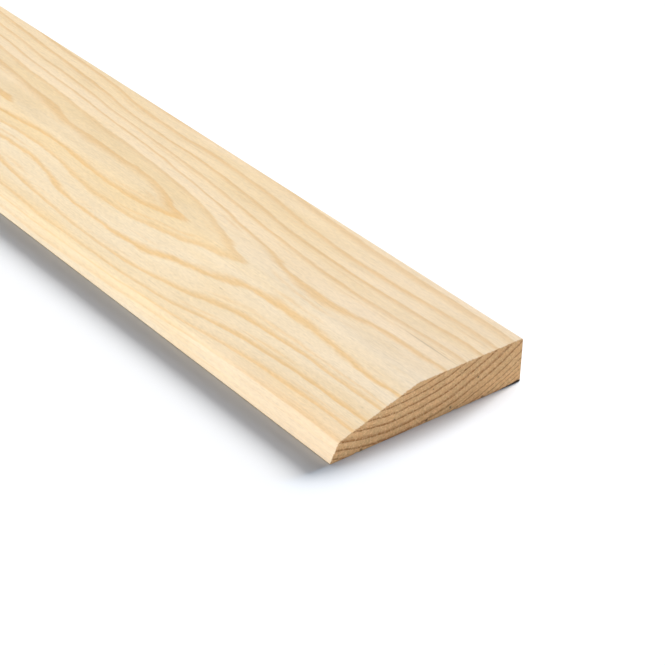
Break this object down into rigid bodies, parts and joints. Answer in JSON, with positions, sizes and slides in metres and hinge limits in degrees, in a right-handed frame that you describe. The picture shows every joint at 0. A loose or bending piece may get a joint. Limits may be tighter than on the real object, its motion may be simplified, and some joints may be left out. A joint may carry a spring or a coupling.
{
  "type": "skirting board length",
  "caption": "Straight length of solid softwood skirting board with a flat face, a long chamfer and a blunt nose, sawn square at both ends.",
  "frame": {"origin": "middle of the back face, at half the length and half the width", "axes": "+X along the length, +Y across the face towards the thick edge, +Z out of the face"},
  "size_m": [2.4, 0.095, 0.02],
  "materials": {
    "planed_pine": "planed and untreated, matt"
  },
  "bodies": {
    "root": {"skirting_board": "planed_pine"}
  },
  "joints": []
}
